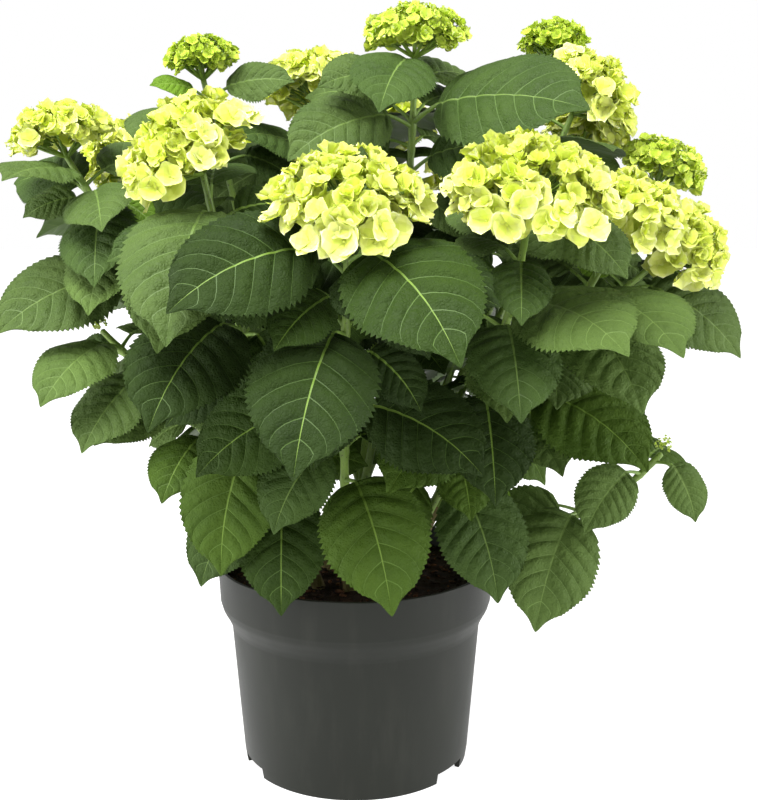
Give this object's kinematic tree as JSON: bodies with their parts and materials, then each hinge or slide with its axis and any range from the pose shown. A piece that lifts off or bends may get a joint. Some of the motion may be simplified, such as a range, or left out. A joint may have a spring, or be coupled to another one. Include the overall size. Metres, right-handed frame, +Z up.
{
  "type": "potted hydrangea shrub",
  "caption": "Rounded flowering shrub with broad toothed leaves and domed heads of lime and cream flowers, standing in a round dark nursery pot.",
  "frame": {"origin": "centre of the flat underside of the pot, where it meets the ground", "axes": "+Z up along the pot's axis, -Y the side the plant is seen from, +X to the right of that side"},
  "size_m": [0.5935, 0.5705, 0.6298],
  "materials": {
    "pot_plastic": "matte moulded plastic",
    "compost": "moist loose compost",
    "cane_bark": "smooth green-brown bark",
    "foliage": "soft green leaves with lime and cream flowers"
  },
  "bodies": {
    "root": {"pot": "pot_plastic", "soil": "compost", "cane_front": "cane_bark", "cane_front_left": "cane_bark", "cane_left": "cane_bark", "cane_front_right": "cane_bark", "cane_right": "cane_bark", "cane_back_right": "cane_bark", "cane_top": "cane_bark", "cane_back_left": "cane_bark", "cane_back": "cane_bark", "mass_front": "foliage", "mass_front_left": "foliage", "mass_left": "foliage", "mass_front_right": "foliage", "mass_right": "foliage", "mass_back_right": "foliage", "mass_top": "foliage", "mass_back_left": "foliage", "mass_back": "foliage"}
  },
  "joints": []
}
